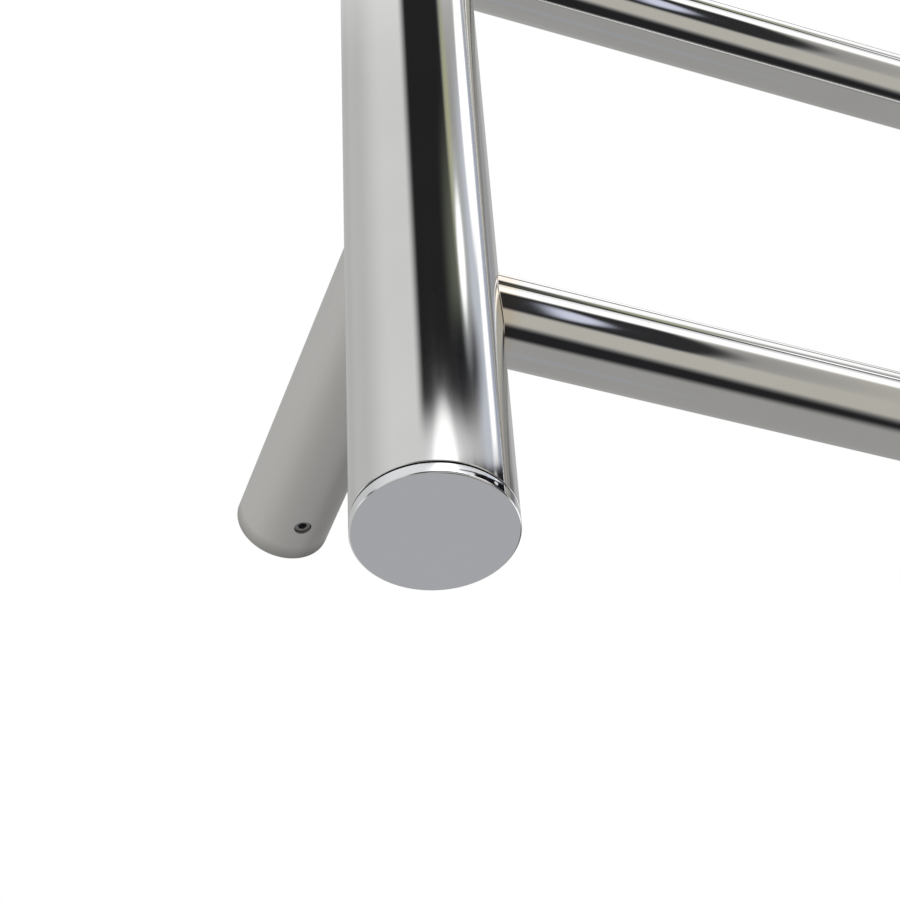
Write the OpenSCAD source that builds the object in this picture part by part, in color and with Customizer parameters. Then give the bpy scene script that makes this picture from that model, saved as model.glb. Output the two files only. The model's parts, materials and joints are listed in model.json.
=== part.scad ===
// Wall-mounted electric towel warmer rack: two round posts, welded round crossbars, four
// standoffs that slip over wall brackets, and a dry heating cable wound through the tubes.
// Frame: +X runs to the right along the crossbars, +Y into the wall, +Z up. The origin is the
// centre of the four wall screws, on the wall's surface.

/* [Frame] */
// Overall width across the two posts
overall_w = 500; // [440:10:640]
// Overall height over the end caps
overall_h = 800; // [780:10:1000]
// Outside diameter of each post
post_d = 32; // [32:0.5:34]
// Wall thickness of each post
post_wall = 1.5; // [1.3:0.1:1.6]
// Outside diameter of each crossbar
bar_d = 19; // [18:0.5:20]
// Wall thickness of each crossbar
bar_wall = 1.2; // [1:0.1:1.4]
// Number of crossbars, even so that the heating cable returns to the post it started from
bar_count = 6; // [4:2:6]
// Distance from the rack's lower or upper end to the nearest crossbar's axis
bar_from_end = 65; // [65:1:72]

/* [End caps] */
// Height of a cap's visible head
cap_head = 2.5; // [2.2:0.1:3]
// Radius of the rounding on the head's outer edge
cap_edge = 0.4; // [0.2:0.1:0.8]
// Width of the shadow groove between a cap and its post
cap_groove = 0.5; // [0.2:0.1:0.6]
// Length of the spigot that sits in the post
cap_spigot = 9; // [7:0.5:11]

/* [Standoffs] */
// Distance from the wall to the axis of a post
wall_gap = 104; // [95:1:120]
// Outside diameter of a standoff
standoff_d = 23; // [22:0.5:24]
// Wall thickness of a standoff
standoff_wall = 1.5; // [1.3:0.1:1.6]
// Distance from the rack's lower or upper end to the nearest standoff's axis
standoff_from_end = 96; // [94:1:110]
// Angle by which the grub screws lean inwards from straight down
grub_lean = 10; // [0:1:20]
// Distance from the wall to a grub screw's axis
grub_from_wall = 12; // [8:0.5:13]

/* [Wall brackets] */
// Length of the boss that a standoff slips over
boss_length = 18; // [16:0.5:22]
// Diameter of the hole for the wall screw
screw_hole_d = 5.5; // [4.5:0.1:6]

/* [Electrics] */
// Diameter of the heating cable
cable_d = 4; // [3:0.5:4.5]
// Bore of the inlet gland's rubber seal
inlet_d = 7; // [6:0.5:7.5]
// Angle of the rocker on each side of level
rocker_tilt = 11; // [8:1:12]

/* [Hidden] */
$fn = 64;

// Posts and crossbars
post_r = post_d / 2;
post_bore_r = post_r - post_wall;
post_x = overall_w / 2 - post_r;
rack_end = overall_h / 2;
tube_end = rack_end - cap_head - cap_groove;
bar_r = bar_d / 2;
bar_bore_r = bar_r - bar_wall;
bar_tuck = sqrt(post_bore_r * post_bore_r - bar_r * bar_r) - 1;
bar_pitch = (overall_h - 2 * bar_from_end) / (bar_count - 1);
bar_levels = [for (i = [0 : bar_count - 1]) -rack_end + bar_from_end + i * bar_pitch];

// End caps
fit_gap = 0.05;
hole_play = 0.1;
groove_depth = 0.5;
spigot_wall = 1.5;
spigot_r = post_bore_r - fit_gap;
edge_steps = 6;
web_top = 4.5;

// Standoffs, measured outwards from the axis of their post
standoff_r = standoff_d / 2;
standoff_bore_r = standoff_r - standoff_wall;
standoff_z = rack_end - standoff_from_end;
standoff_edge = 1.2;
plug_from = 22;
plug_length = 8;
plug_play = 0.25;
bolt_r = 4;
bolt_head_r = 6.5;
bolt_head_length = 8;
bolt_socket = 6;
bolt_tip = 5;
nut_body_r = 5.5;
nut_body_from = 4;
nut_bulge_r = 6.75;
nut_bulge_from = 9;
nut_bulge_length = 3;
nut_flange_r = 7.5;
nut_flange_length = 1;
grub_r = 2;
grub_length = 4;
grub_sink = 0.6;
grub_socket = 2;
grub_socket_depth = 1.8;

// Wall brackets
boss_play = 0.3;
boss_r = standoff_bore_r - boss_play;
countersink_r = 5.2;
boss_chamfer = 1;

// Heating cable
cable_r = cable_d / 2;
cable_drop = bar_bore_r - cable_r - hole_play;
bend_r = 6;
return_u = 8;

// Pieces inside the right post, measured from its axis and from the rack's lower end
block_from = 38;
block_to = 52;
block_low = [-7, -4.5];
block_high = [12, 4.5];
cutout_from = 150;
cutout_size = [8, 5, 22];
lead_r = 0.9;
tail_r = 1.6;

// Earth connection at the post's back, measured outwards from the post's axis
earth_z = 45;
earth_r = 2;
earth_head_r = 3.5;
earth_head_h = 2.4;
earth_socket = 2.5;
earth_nut_flats = 7;
earth_nut_h = 3;
lug_from = 12;
lug_thick = 0.8;
lug_r = 4;
barrel_r = 1.4;
barrel_from = 3.6;
barrel_length = 6;
lead_bow = 7;
lead_end = [4, 2.8];

// Inlet gland, measured outwards from the post's axis
gland_z = 130;
gland_thread_r = 6;
gland_thread_from = 8;
gland_bore_r = 4.6;
locknut_flats = 14;
locknut_h = 3;
seat_r = 8.5;
seat_h = 1;
gland_flats = 15;
gland_flange_from = post_r + seat_h;
gland_flange = 3;
gland_nut_from = gland_flange_from + gland_flange;
gland_nut_hex = 6;
gland_nut_dome = 5;
gland_nut_taper = 2;
gland_collar = 7;
seal_sink = 1;
seal_length = 8;
mouth_play = 0.4;

// Rocker switch
panel_r = 10.1;
bezel_r = 11.5;
bezel_h = 1.6;
housing_r = 10;
housing_bore_r = 9.2;
housing_floor = 9;
housing_top = 21;
pivot_z = 2.5;
pivot_r = 1;
pivot_reach = 9.8;
rocker_r = 8.9;
rocker_valley = 1;
rocker_depth = 4;
lens_r = 1.5;
lens_y = 4.6;
lens_proud = 0.2;
blade = [0.8, 4.8, 8];
blade_pitch = 5.5;

CORNERS = ["lower_left", "lower_right", "upper_left", "upper_right"];

// ---- Places ----

// Side is -1 for the left post and 1 for the right one. Inside, +X points into the rack.
module at_post(side) {
    translate([side * post_x, -wall_gap, 0]) mirror([side > 0 ? 1 : 0, 0, 0]) children();
}

// The right post's axis at the rack's lower end, with +X away from the rack.
module at_inlet_post() {
    translate([post_x, -wall_gap, -rack_end]) children();
}

// Turns +Z to point into the wall, from a post's axis at one of the four standoffs.
module at_standoff(side, level) {
    at_post(side) translate([0, 0, level * standoff_z]) rotate([-90, 0, 0]) children();
}

module at_all_standoffs() {
    for (side = [-1, 1], level = [-1, 1]) at_standoff(side, level) children();
}

// From a standoff's axis, +X points out along its leaning grub screw.
module at_grub() {
    translate([0, 0, wall_gap - grub_from_wall]) rotate([0, 0, 90 - grub_lean]) children();
}

// Turns +Z to point out of the right post's back, at a height above the rack's lower end.
module at_back(height) {
    at_inlet_post() translate([0, 0, height]) rotate([-90, 0, 0]) children();
}

// ---- Shapes ----

module tube(r, bore, h) {
    difference() {
        cylinder(h = h, r = r);
        translate([0, 0, -1]) cylinder(h = h + 2, r = bore);
    }
}

module hexagon(flats, h) {
    cylinder(h = h, r = flats / sqrt(3), $fn = 6);
}

// Points of a rounded outer corner at (r, z), turning from the flat face to the side.
function rounded_edge(r, z, edge) = [
    for (i = [0 : edge_steps])
        [r - edge + edge * sin(90 * i / edge_steps), z + edge - edge * cos(90 * i / edge_steps)]
];

function unit(v) = v / norm(v);

// Points on a smooth curve through four control points.
function bezier(p, steps) = [
    for (i = [0 : steps])
        let (t = i / steps, s = 1 - t)
            s * s * s * p[0] + 3 * s * s * t * p[1] + 3 * s * t * t * p[2] + t * t * t * p[3]
];

// A round wire swept along a list of points that isn't parallel to +X anywhere.
module wire(points, r, sides = 10) {
    last = len(points) - 1;
    rings = [
        for (i = [0 : last])
            let (
                along = unit(points[min(i + 1, last)] - points[max(i - 1, 0)]),
                across = unit(cross(along, [1, 0, 0])),
                up = cross(across, along)
            )
                for (k = [0 : sides - 1])
                    points[i] + r * (cos(360 * k / sides) * across + sin(360 * k / sides) * up)
    ];
    walls = [
        for (i = [0 : last - 1], k = [0 : sides - 1])
            let (next = (k + 1) % sides)
                [i * sides + k, (i + 1) * sides + k, (i + 1) * sides + next, i * sides + next]
    ];
    start = [for (k = [0 : sides - 1]) k];
    finish = [for (k = [sides - 1 : -1 : 0]) last * sides + k];
    polyhedron(points = rings, faces = concat([start], walls, [finish]));
}

// ---- Frame ----

module post(side) {
    at_post(side) difference() {
        translate([0, 0, -tube_end]) tube(post_r, post_bore_r, 2 * tube_end);
        for (z = bar_levels) translate([0, 0, z]) rotate([0, 90, 0]) cylinder(h = post_r + 1, r = bar_r);
        for (level = [-1, 1])
            translate([0, 0, level * standoff_z]) rotate([-90, 0, 0])
                cylinder(h = post_r + 1, r = nut_body_r + hole_play);
    }
}

module left_post() {
    color("lightsteelblue") post(-1);
}

module right_post() {
    color("lightsteelblue") difference() {
        post(1);
        at_back(earth_z) cylinder(h = post_r + 1, r = earth_r + fit_gap);
        at_back(gland_z) cylinder(h = post_r + 1, r = gland_thread_r + hole_play);
    }
}

module crossbar(i) {
    half = post_x - bar_tuck;
    color("silver") translate([-half, -wall_gap, bar_levels[i - 1]]) rotate([0, 90, 0])
        tube(bar_r, bar_bore_r, 2 * half);
}

// ---- End caps, drawn with the face down and the spigot up ----

head_profile = concat(
    [[0, 0]],
    rounded_edge(post_r, 0, cap_edge),
    [
        [post_r, cap_head],
        [post_r - groove_depth, cap_head],
        [post_r - groove_depth, cap_head + cap_groove],
        [spigot_r, cap_head + cap_groove],
        [spigot_r, cap_head + cap_groove + cap_spigot],
        [spigot_r - spigot_wall, cap_head + cap_groove + cap_spigot]
    ]
);

module plain_cap() {
    rotate_extrude() polygon(concat(
        head_profile,
        [[spigot_r - spigot_wall, cap_head], [0, cap_head]]
    ));
}

module cap_at(side, level) {
    color("gainsboro") translate([side * post_x, -wall_gap, level * rack_end])
        rotate([level > 0 ? 180 : 0, 0, 0]) plain_cap();
}

module switch_cap() {
    color("gainsboro") at_inlet_post() difference() {
        rotate_extrude() polygon(concat(
            head_profile,
            [[spigot_r - spigot_wall, web_top], [0, web_top]]
        ));
        translate([0, 0, -1]) cylinder(h = web_top + 2, r = panel_r);
        translate([0, 0, -1]) cylinder(h = 1 + bezel_h, r = bezel_r + fit_gap);
    }
}

// ---- Standoffs ----

module standoff(side, level) {
    color("darkgray") at_standoff(side, level) difference() {
        translate([0, 0, wall_gap]) mirror([0, 0, 1]) rotate_extrude() polygon(concat(
            [[standoff_bore_r, 0]],
            rounded_edge(standoff_r, 0, standoff_edge),
            [[standoff_r, wall_gap], [standoff_bore_r, wall_gap]]
        ));
        rotate([90, 0, 0]) translate([0, 0, -post_d]) cylinder(h = 2 * post_d, r = post_r);
        at_grub() rotate([0, 90, 0]) cylinder(h = standoff_d, r = grub_r + fit_gap);
    }
}

module standoff_plugs() {
    color("darkgray") at_all_standoffs() translate([0, 0, plug_from])
        tube(standoff_bore_r - fit_gap, bolt_r + plug_play, plug_length);
}

module standoff_bolts() {
    head_from = plug_from + plug_length;
    color("dimgray") at_all_standoffs() difference() {
        union() {
            translate([0, 0, bolt_tip]) cylinder(h = head_from - bolt_tip, r = bolt_r);
            translate([0, 0, head_from]) cylinder(h = bolt_head_length, r = bolt_head_r);
        }
        translate([0, 0, head_from + bolt_head_length / 2]) hexagon(bolt_socket, bolt_head_length);
    }
}

module rivet_nuts() {
    color("goldenrod") at_all_standoffs() difference() {
        union() {
            translate([0, 0, nut_body_from]) cylinder(h = post_r - nut_body_from + 0.5, r = nut_body_r);
            translate([0, 0, nut_bulge_from]) cylinder(h = nut_bulge_length, r = nut_bulge_r);
            translate([0, 0, post_r + fit_gap]) cylinder(h = nut_flange_length, r = nut_flange_r);
        }
        cylinder(h = post_d, r = bolt_r + fit_gap);
    }
}

module grub_screws() {
    color("dimgray") at_all_standoffs() at_grub() rotate([0, 90, 0])
        translate([0, 0, standoff_r - grub_sink - grub_length]) difference() {
            cylinder(h = grub_length, r = grub_r);
            translate([0, 0, grub_length - grub_socket_depth]) hexagon(grub_socket, grub_length);
        }
}

module wall_bracket(side, level) {
    color("slategray") at_standoff(side, level) difference() {
        translate([0, 0, wall_gap - boss_length]) rotate_extrude() polygon([
            [screw_hole_d / 2, boss_length],
            [screw_hole_d / 2, countersink_r - screw_hole_d / 2],
            [countersink_r, 0],
            [boss_r - boss_chamfer, 0],
            [boss_r, boss_chamfer],
            [boss_r, boss_length]
        ]);
        at_grub() rotate([0, 90, 0])
            translate([0, 0, standoff_r - grub_sink - grub_length - hole_play])
                cylinder(h = standoff_d, r = grub_r + fit_gap);
    }
}

// ---- Heating ----

// A quarter bend of cable in the XZ plane, from angle a to a + 90 round its centre.
module cable_bend(x, z, a) {
    translate([x, 0, z]) rotate([90, 0, 0]) rotate([0, 0, a])
        rotate_extrude(angle = 90) translate([bend_r, 0]) circle(r = cable_r);
}

module cable_run(x0, x1, z) {
    translate([x0, 0, z]) rotate([0, 90, 0]) cylinder(h = x1 - x0, r = cable_r);
}

module cable_rise(x, z0, z1) {
    translate([x, 0, z0]) cylinder(h = z1 - z0, r = cable_r);
}

// The cable climbs through every crossbar in turn and comes back down the right post.
module heating_cable() {
    runs = [for (z = bar_levels) z - cable_drop];
    reach = post_x - bend_r;
    last = bar_count - 1;
    color("firebrick") translate([0, -wall_gap, 0]) {
        for (i = [0 : last - 1]) {
            side = i % 2 == 0 ? -1 : 1;
            cable_bend(side * reach, runs[i] + bend_r, side < 0 ? 180 : 270);
            cable_rise(side * post_x, runs[i] + bend_r, runs[i + 1] - bend_r);
            cable_bend(side * reach, runs[i + 1] - bend_r, side < 0 ? 90 : 0);
        }
        for (i = [0 : last]) cable_run(-reach, i == last ? reach + return_u : reach, runs[i]);
        cable_bend(reach, runs[0] - bend_r, 0);
        cable_rise(post_x, -rack_end + block_to, runs[0] - bend_r);
        cable_bend(reach + return_u, runs[last] - bend_r, 0);
        cable_rise(post_x + return_u, -rack_end + cutout_from + cutout_size.z, runs[last] - bend_r);
    }
}

module thermal_cutout() {
    color("ivory") at_inlet_post()
        translate([return_u - cutout_size.x / 2, -cutout_size.y / 2, cutout_from]) cube(cutout_size);
}

module cold_tail() {
    color("white") at_inlet_post() translate([return_u, 0, block_to])
        cylinder(h = cutout_from - block_to, r = tail_r);
}

module terminal_block() {
    color("whitesmoke") at_inlet_post() translate([block_low.x, block_low.y, block_from])
        cube([block_high.x - block_low.x, block_high.y - block_low.y, block_to - block_from]);
}

module switch_leads() {
    from = housing_top + blade.z;
    color("saddlebrown") at_inlet_post() for (u = [-1, 0, 1])
        translate([u * blade_pitch, 0, from]) cylinder(h = block_from - from, r = lead_r);
}

// ---- Earth ----

module earth_screw() {
    shank_from = lug_from - earth_nut_h - 1;
    color("gold") at_back(earth_z) difference() {
        union() {
            translate([0, 0, shank_from]) cylinder(h = post_r + 1 - shank_from, r = earth_r);
            translate([0, 0, post_r + fit_gap]) cylinder(h = earth_head_h, r = earth_head_r);
        }
        translate([0, 0, post_r + earth_head_h / 2]) hexagon(earth_socket, earth_head_h);
    }
}

module earth_lug() {
    tongue = barrel_from + barrel_length;
    color("gold") at_back(earth_z) translate([0, 0, lug_from]) difference() {
        union() {
            cylinder(h = lug_thick, r = lug_r);
            translate([-barrel_r, -tongue, 0]) cube([2 * barrel_r, tongue, lug_thick]);
            translate([0, -barrel_from, 0]) rotate([90, 0, 0]) cylinder(h = barrel_length, r = barrel_r);
        }
        translate([0, 0, -1]) cylinder(h = lug_thick + 2, r = earth_r + fit_gap);
    }
}

module earth_nut() {
    color("gold") at_back(earth_z) translate([0, 0, lug_from - earth_nut_h]) difference() {
        hexagon(earth_nut_flats, earth_nut_h);
        translate([0, 0, -1]) cylinder(h = earth_nut_h + 2, r = earth_r + fit_gap);
    }
}

// The earth lead bows over from the lug's barrel to the terminal block.
module earth_lead() {
    start = [0, lug_from, earth_z + barrel_from + barrel_length + 2 * fit_gap];
    end = [lead_end.x, lead_end.y, block_to + fit_gap];
    color("yellowgreen") at_inlet_post()
        wire(bezier([start, start + [0, 0, lead_bow], end + [0, 0, 2 * lead_bow], end], 16), lead_r);
}

// ---- Inlet gland ----

// A washer whose inner face is hollowed to fit the round post.
module gland_seat() {
    color("black") at_back(gland_z) difference() {
        translate([0, 0, post_r - 3]) cylinder(h = seat_h + 3, r = seat_r);
        translate([0, 0, -1]) cylinder(h = post_d, r = gland_thread_r + hole_play);
        rotate([90, 0, 0]) translate([0, 0, -post_d]) cylinder(h = 2 * post_d, r = post_r);
    }
}

module gland_body() {
    color("silver") at_back(gland_z) difference() {
        union() {
            translate([0, 0, gland_thread_from])
                cylinder(h = gland_nut_from + gland_collar - gland_thread_from, r = gland_thread_r);
            translate([0, 0, gland_flange_from]) hexagon(gland_flats, gland_flange);
        }
        cylinder(h = 2 * post_d, r = gland_bore_r);
    }
}

module gland_locknut() {
    locknut_to = sqrt(post_bore_r * post_bore_r - locknut_flats * locknut_flats / 3) - 0.5;
    color("silver") at_back(gland_z) translate([0, 0, locknut_to - locknut_h]) difference() {
        hexagon(locknut_flats, locknut_h);
        translate([0, 0, -1]) cylinder(h = locknut_h + 2, r = gland_thread_r + fit_gap);
    }
}

module gland_seal() {
    color("black") at_back(gland_z) translate([0, 0, gland_nut_from - seal_sink])
        tube(gland_bore_r - fit_gap, inlet_d / 2, seal_length);
}

module gland_nut() {
    dome_r = gland_flats / 2;
    color("silver") at_back(gland_z) translate([0, 0, gland_nut_from + fit_gap]) difference() {
        union() {
            hexagon(gland_flats, gland_nut_hex);
            translate([0, 0, gland_nut_hex])
                cylinder(h = gland_nut_dome, r1 = dome_r, r2 = dome_r - gland_nut_taper);
        }
        translate([0, 0, -1]) cylinder(h = gland_collar + 1.2, r = gland_thread_r + fit_gap);
        cylinder(h = gland_nut_hex + gland_nut_dome + 1, r = inlet_d / 2 + mouth_play);
    }
}

// ---- Rocker switch ----

module switch_housing() {
    color("black") at_inlet_post() difference() {
        rotate_extrude() polygon([
            [housing_bore_r, 0],
            [bezel_r, 0],
            [bezel_r, bezel_h],
            [housing_r, bezel_h],
            [housing_r, housing_top],
            [0, housing_top],
            [0, housing_floor],
            [housing_bore_r, housing_floor]
        ]);
        translate([-housing_r, 0, pivot_z]) rotate([0, 90, 0])
            cylinder(h = 2 * housing_r, r = pivot_r + fit_gap);
    }
}

module switch_terminals() {
    color("khaki") at_inlet_post() for (u = [-1, 0, 1])
        translate([u * blade_pitch - blade.x / 2, -blade.y / 2, housing_top]) cube(blade);
}

// At rest the rocker stands switched off, tilted towards the wall side.
module at_rocker() {
    at_inlet_post() translate([0, 0, pivot_z]) rotate([rocker_tilt, 0, 0]) children();
}

// Side view of the rocker: two faces that meet in a shallow valley, each at the tilt angle.
module rocker_side() {
    reach = rocker_r + 0.5;
    lip = rocker_valley + reach * tan(rocker_tilt);
    polygon([
        [-reach, -lip],
        [0, -rocker_valley],
        [reach, -lip],
        [reach, rocker_depth],
        [-reach, rocker_depth]
    ]);
}

module switch_rocker() {
    color("black") at_rocker() {
        difference() {
            intersection() {
                sphere(r = rocker_r, $fn = 96);
                rotate([90, 0, 90]) translate([0, 0, -rocker_r])
                    linear_extrude(2 * rocker_r) rocker_side();
            }
            lens_place() translate([0, 0, -2]) cylinder(h = 4 + fit_gap, r = lens_r + fit_gap);
        }
        for (side = [-1, 1]) translate([side * pivot_reach, 0, 0]) rotate([0, -side * 90, 0])
            cylinder(h = pivot_reach - rocker_r + 0.4, r = pivot_r);
    }
}

// The pilot lamp's lens, square to one face of the rocker.
module lens_place() {
    translate([0, lens_y, -rocker_valley - lens_y * tan(rocker_tilt)])
        rotate([-rocker_tilt, 0, 0]) children();
}

module rocker_lens() {
    color("red") at_rocker() lens_place() translate([0, 0, -lens_proud])
        cylinder(h = 2 + lens_proud, r = lens_r);
}

// ---- Nodes ----

left_post();
right_post();
for (i = [1 : bar_count])
    crossbar(i);
cap_at(-1, 1);  // cap_top_left
cap_at(1, 1);  // cap_top_right
cap_at(-1, -1);  // cap_bottom_left
switch_cap();
standoff(-1, -1);  // standoff_lower_left
standoff(1, -1);  // standoff_lower_right
standoff(-1, 1);  // standoff_upper_left
standoff(1, 1);  // standoff_upper_right
wall_bracket(-1, -1);  // wall_bracket_lower_left
wall_bracket(1, -1);  // wall_bracket_lower_right
wall_bracket(-1, 1);  // wall_bracket_upper_left
wall_bracket(1, 1);  // wall_bracket_upper_right
standoff_plugs();
standoff_bolts();
rivet_nuts();
grub_screws();
heating_cable();
thermal_cutout();
cold_tail();
terminal_block();
switch_leads();
earth_screw();
earth_lug();
earth_nut();
earth_lead();
gland_seat();
gland_body();
gland_locknut();
gland_seal();
gland_nut();
switch_housing();
switch_terminals();
switch_rocker();
rocker_lens();
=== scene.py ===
import json
import math

import bmesh
import bpy
from mathutils import Matrix, Vector


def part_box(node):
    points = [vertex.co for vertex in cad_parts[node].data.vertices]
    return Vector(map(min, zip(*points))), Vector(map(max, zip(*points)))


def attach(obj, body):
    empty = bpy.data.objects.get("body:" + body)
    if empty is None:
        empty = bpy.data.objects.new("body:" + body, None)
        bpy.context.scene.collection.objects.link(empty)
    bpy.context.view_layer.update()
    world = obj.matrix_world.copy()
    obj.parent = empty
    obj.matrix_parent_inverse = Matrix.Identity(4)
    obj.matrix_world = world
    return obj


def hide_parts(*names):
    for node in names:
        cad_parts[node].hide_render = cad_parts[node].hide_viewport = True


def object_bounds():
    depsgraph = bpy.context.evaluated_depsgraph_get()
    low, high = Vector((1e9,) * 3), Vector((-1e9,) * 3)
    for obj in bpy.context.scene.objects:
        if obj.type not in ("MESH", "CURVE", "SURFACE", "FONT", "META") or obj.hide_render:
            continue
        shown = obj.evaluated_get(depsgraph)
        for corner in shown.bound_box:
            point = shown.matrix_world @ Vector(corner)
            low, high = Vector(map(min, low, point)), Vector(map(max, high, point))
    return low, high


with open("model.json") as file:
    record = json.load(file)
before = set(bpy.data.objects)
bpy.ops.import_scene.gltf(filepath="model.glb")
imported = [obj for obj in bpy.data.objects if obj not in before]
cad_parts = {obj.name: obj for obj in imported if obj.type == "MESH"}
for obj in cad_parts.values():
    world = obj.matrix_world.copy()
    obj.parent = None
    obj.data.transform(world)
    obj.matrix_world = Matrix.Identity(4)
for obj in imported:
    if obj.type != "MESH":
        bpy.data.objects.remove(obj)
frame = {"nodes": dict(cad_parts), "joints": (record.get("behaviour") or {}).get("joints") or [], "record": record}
CAD_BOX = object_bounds()

MM = 0.001
TURN = 2 * math.pi
RACK = "rack"
ROCKER = "rocker"

# ---- Sizes, read from the frame ----


def middle(node):
    low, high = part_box(node)
    return (low + high) / 2


def span(node):
    low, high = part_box(node)
    return high - low


BARS = sorted(n for n in frame["nodes"] if n.startswith("crossbar_"))
CORNERS = ["lower_left", "lower_right", "upper_left", "upper_right"]
POST_R = span("left_post").x / 2
BAR_R = span("crossbar_1").y / 2
STANDOFF_R = span("standoff_lower_left").x / 2
POST_X = middle("right_post").x
POST_Y = middle("right_post").y
RACK_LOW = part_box("cap_bottom_left")[0].z
RACK_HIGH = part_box("cap_top_left")[1].z
TUBE_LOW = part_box("left_post")[0].z
TUBE_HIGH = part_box("left_post")[1].z
WALL_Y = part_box("standoff_lower_left")[1].y

# Sizes that the boxes don't give
POST_WALL = 1.5 * MM
BAR_WALL = 1.2 * MM
STANDOFF_WALL = 1.5 * MM
CAP_HEAD = 2.5 * MM
CAP_NECK_R = POST_R - 0.5 * MM
CAP_SPIGOT = 9 * MM
WELD_R = 0.45 * MM
SPIGOT_PLAY = 0.05 * MM
# How far under the post's skin the root of a tube's fillet ends
ROOT_DEPTH = 0.3 * MM
GRUB_LEAN = math.radians(10)
GRUB_FROM_WALL = 12 * MM
GRUB_R = 2 * MM
GRUB_SINK = 0.6 * MM
GRUB_LENGTH = 4 * MM
GRUB_PLAY = 0.1 * MM

# ---- Mesh building ----


def finish_piece(obj, body, replaces=(), angle=35):
    """Shades a piece smoothly up to its creases, and rides it on its body."""
    mesh = obj.data
    work = bmesh.new()
    work.from_mesh(mesh)
    bmesh.ops.recalc_face_normals(work, faces=work.faces)
    work.to_mesh(mesh)
    work.free()
    for face in mesh.polygons:
        face.use_smooth = True
    mesh.set_sharp_from_angle(angle=math.radians(angle))
    weighted = obj.modifiers.new("even_normals", "WEIGHTED_NORMAL")
    weighted.keep_sharp = True
    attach(obj, body)
    if replaces:
        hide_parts(*replaces)
    return obj


def new_object(name, verts, faces, material):
    mesh = bpy.data.meshes.new(name)
    mesh.from_pydata([tuple(v) for v in verts], [], faces)
    mesh.validate()
    obj = bpy.data.objects.new(name, mesh)
    obj.data.materials.append(material)
    bpy.context.scene.collection.objects.link(obj)
    return obj


def loft(rings, closed=False, capped=False):
    """Vertices and faces of a skin over rings of equal length."""
    count = len(rings[0])
    verts = [p for ring in rings for p in ring]
    faces = []
    steps = len(rings) if closed else len(rings) - 1
    for i in range(steps):
        j = (i + 1) % len(rings)
        for k in range(count):
            m = (k + 1) % count
            faces.append((i * count + k, i * count + m, j * count + m, j * count + k))
    if capped:
        faces.append(tuple(range(count)))
        faces.append(tuple((len(rings) - 1) * count + k for k in range(count)))
    return verts, faces


def ring_round(place, radii, h):
    """One ring at a height on a placed axis, with a radius for each of its points."""
    count = len(radii)
    return [
        place @ Vector((r * math.cos(TURN * k / count), r * math.sin(TURN * k / count), h))
        for k, r in enumerate(radii)
    ]


def revolve(profile, place, count, closed=False, capped=False):
    """A skin of revolution: profile holds (radius, height) pairs, and place sets its axis."""
    return loft([ring_round(place, [r] * count, h) for r, h in profile], closed, capped)


def socket_screw(profile, place, count, socket_r, socket_depth):
    """A turned screw with a hexagon socket sunk in its top, where the profile ends."""
    top = profile[-1][1]
    chamfer = 0.08 * MM
    hexagon = [socket_r / math.cos((TURN * k / count) % (math.pi / 3) - math.pi / 6) for k in range(count)]
    rings = [ring_round(place, [r] * count, h) for r, h in profile]
    rings.append(ring_round(place, [r + chamfer for r in hexagon], top))
    rings.append(ring_round(place, hexagon, top - chamfer))
    rings.append(ring_round(place, hexagon, top - socket_depth))
    return loft(rings, capped=True)


def arc(centre, r, start, end, steps):
    """Points on an arc in a profile, with angles in degrees."""
    points = []
    for i in range(steps + 1):
        a = math.radians(start + (end - start) * i / steps)
        points.append((centre[0] + r * math.cos(a), centre[1] + r * math.sin(a)))
    return points


def joined(parts):
    """Puts several (vertices, faces) pairs into one."""
    verts, faces = [], []
    for v, f in parts:
        base = len(verts)
        verts.extend(v)
        faces.extend(tuple(base + i for i in face) for face in f)
    return verts, faces


def upright(x, y, z, down=False):
    """Places a profile with its axis along Z, or along -Z."""
    place = Matrix.Translation((x, y, z))
    return place @ Matrix.Rotation(math.pi, 4, "X") if down else place


def towards_wall(x, z, y=POST_Y):
    """Places a profile with its axis along +Y, its X along +X and its Y along -Z."""
    return Matrix.Translation((x, y, z)) @ Matrix.Rotation(-math.pi / 2, 4, "X")


# ---- Node materials ----


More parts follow.
